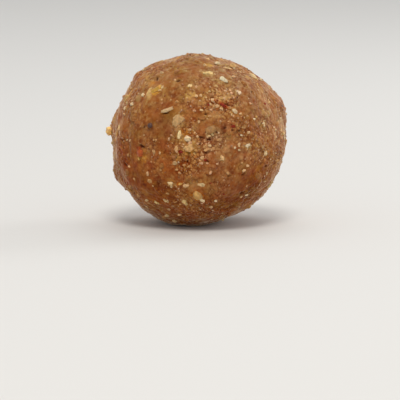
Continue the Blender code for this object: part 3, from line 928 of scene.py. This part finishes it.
# The same flesh in crumbs too small for a coat of dough
crumb_flesh = coated("nut crumbs", film=0.02, mottle_size=0.5, roughness=0.5, specular=0.25,
                     see_through=0.35)
bpy.context.view_layer.update()
crumb_rows = []
for tint, rows in FRONT_CRUMBS.items():
    for across, up, length, width, *turn in rows:
        facing = front_direction(across, up)
        # on the dough or on the larger piece that is there
        outside = BALL_MIDDLE + facing * 2 * BALL_RADIUS
        hits = [thing.ray_cast(outside, -facing) for thing in (ball, nuts, gum, coconut)]
        place = min((spot for hit, spot, _, _ in hits if hit),
                    key=lambda spot: (spot - outside).length)
        thickness = width * CRUMB_FLATNESS
        crumb_rows.append((place + facing * (CRUMB_OUT - 0.5) * thickness * MM, facing, length,
                           width, thickness, sum(turn), CRUMB_TINTS[tint]))
crumb_points = marked_points("crumb_points", crumb_rows)
crumbs = run_tree(
    "ladoo_nut_crumbs", bits_tree, ball.data, marked=crumb_points, where="sides",
    per_square_metre=0.07e6, apart=0.8 * MM, seed=3, shortest=0.45 * MM, longest=1.5 * MM,
    flatness=CRUMB_FLATNESS, dull=linear("B07C46"), bright=linear("D7BC8C"), faces=2,
    sharpness=1.0, uneven_size=0.3 * MM, uneven_height=0.12 * MM, rounded=False,
    material=crumb_flesh,
)
bpy.data.objects.remove(crumb_points)
note_height(crumbs, on_grains=True)
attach(crumbs, "root")

# --------------------------------------------------
# Semolina: sand-fine golden to cream grains of hard wheat, roasted with the flour and caught
# everywhere in the skin, densest where it is crumbly.

# Roasted semolina: tan to cream, glassy enough to sparkle a little
semolina_grain = coated("roasted semolina", film=0.02, mottle_size=0.4, roughness=0.4,
                        specular=0.5, see_through=0.3)
semolina = run_tree(
    "ladoo_semolina", bits_tree, ball.data, where="grainy", per_square_metre=1.3e6,
    apart=0.42 * MM, seed=11, shortest=0.25 * MM, longest=0.75 * MM, flatness=0.7,
    dull=linear("8C4E22"), bright=linear("D8B48C"), faces=1, sharpness=0.9,
    material=semolina_grain,
)
note_height(semolina)
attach(semolina, "root")

# --------------------------------------------------
# Bran and nut skin: thin dark red brown flakes, rubbed off the wheat and the almonds, that lie
# flat in the skin.

# Bran: matt, dark red brown
bran_flake = coated("wheat bran and almond skin", film=0.01, mottle_size=0.4, roughness=0.55,
                    specular=0.3, see_through=0.0)
bran = run_tree(
    "ladoo_bran", bits_tree, ball.data, where="everywhere", per_square_metre=0.09e6,
    apart=0.9 * MM, seed=23, shortest=0.3 * MM, longest=0.9 * MM, flatness=0.25,
    dull=linear("4A1E0E"), bright=linear("7E3A1A"), faces=1, sharpness=0.9,
    material=bran_flake,
)
note_height(bran)
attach(bran, "root")

# --------------------------------------------------
# The floor and the studio: a broad pale floor of paper and broad soft lights from above, in
# front and behind.
FLOOR_REACH = 3.0
floor_mesh = bpy.data.meshes.new("studio_floor")
floor_mesh.from_pydata(
    [(-FLOOR_REACH, -FLOOR_REACH, 0), (FLOOR_REACH, -FLOOR_REACH, 0),
     (FLOOR_REACH, FLOOR_REACH, 0), (-FLOOR_REACH, FLOOR_REACH, 0)], [], [(0, 1, 2, 3)])
floor = in_scene("studio_floor", floor_mesh)
# White paper: matt
paper = bpy.data.materials.new("white paper")
paper.use_nodes = True
feed(paper.node_tree.nodes["Principled BSDF"], {"Base Color": linear("D6D5D2"), "Roughness": 0.8})
floor_mesh.materials.append(paper)


def softbox(name, place, size, power, colour):
    """A round soft light that faces the ladoo."""
    light = bpy.data.lights.new(name, "AREA")
    light.shape = "DISK"
    light.size = size
    light.energy = power
    light.color = linear(colour)[:3]
    lamp = in_scene(name, light)
    lamp.location = place
    lamp.rotation_euler = (BALL_MIDDLE - Vector(place)).to_track_quat("-Z", "Y").to_euler()


softbox("key", (0.0, -0.46, 0.82), 0.35, 4.0, "FFFAF4")
softbox("back top", (0.05, 0.34, 0.76), 0.7, 1.5, "FFFFFF")
softbox("right back", (0.52, 0.30, 0.24), 0.3, 1.0, "FFFFFF")

world = bpy.data.worlds.new("studio")
scene.world = world
world.use_nodes = True
feed(world.node_tree.nodes["Background"], {"Color": linear("FFFFFF"), "Strength": 0.58})

scene.view_settings.view_transform = "Standard"

# The camera looks at the ladoo as the photograph does, with the ball's middle at this pixel of
# the 400 by 400 frame and this many pixels for each millimetre.
FRAME_PIXELS = 400
BALL_PIXEL = (199, 140)
PIXELS_PER_MM = 176.5 / 42
LENS = 300  # mm
camera_data = bpy.data.cameras.new("camera")
camera_data.lens = LENS
camera_data.clip_end = 10
distance = FRAME_PIXELS / PIXELS_PER_MM * MM * LENS / camera_data.sensor_width
camera = in_scene("camera", camera_data)
off_right = (FRAME_PIXELS / 2 - BALL_PIXEL[0]) / PIXELS_PER_MM * MM
off_up = (BALL_PIXEL[1] - FRAME_PIXELS / 2) / PIXELS_PER_MM * MM
camera.location = BALL_MIDDLE + as_seen(0, distance, 0)
target = BALL_MIDDLE + as_seen(off_right, 0, off_up)
camera.rotation_euler = (target - camera.location).to_track_quat("-Z", "Y").to_euler()
scene.camera = camera
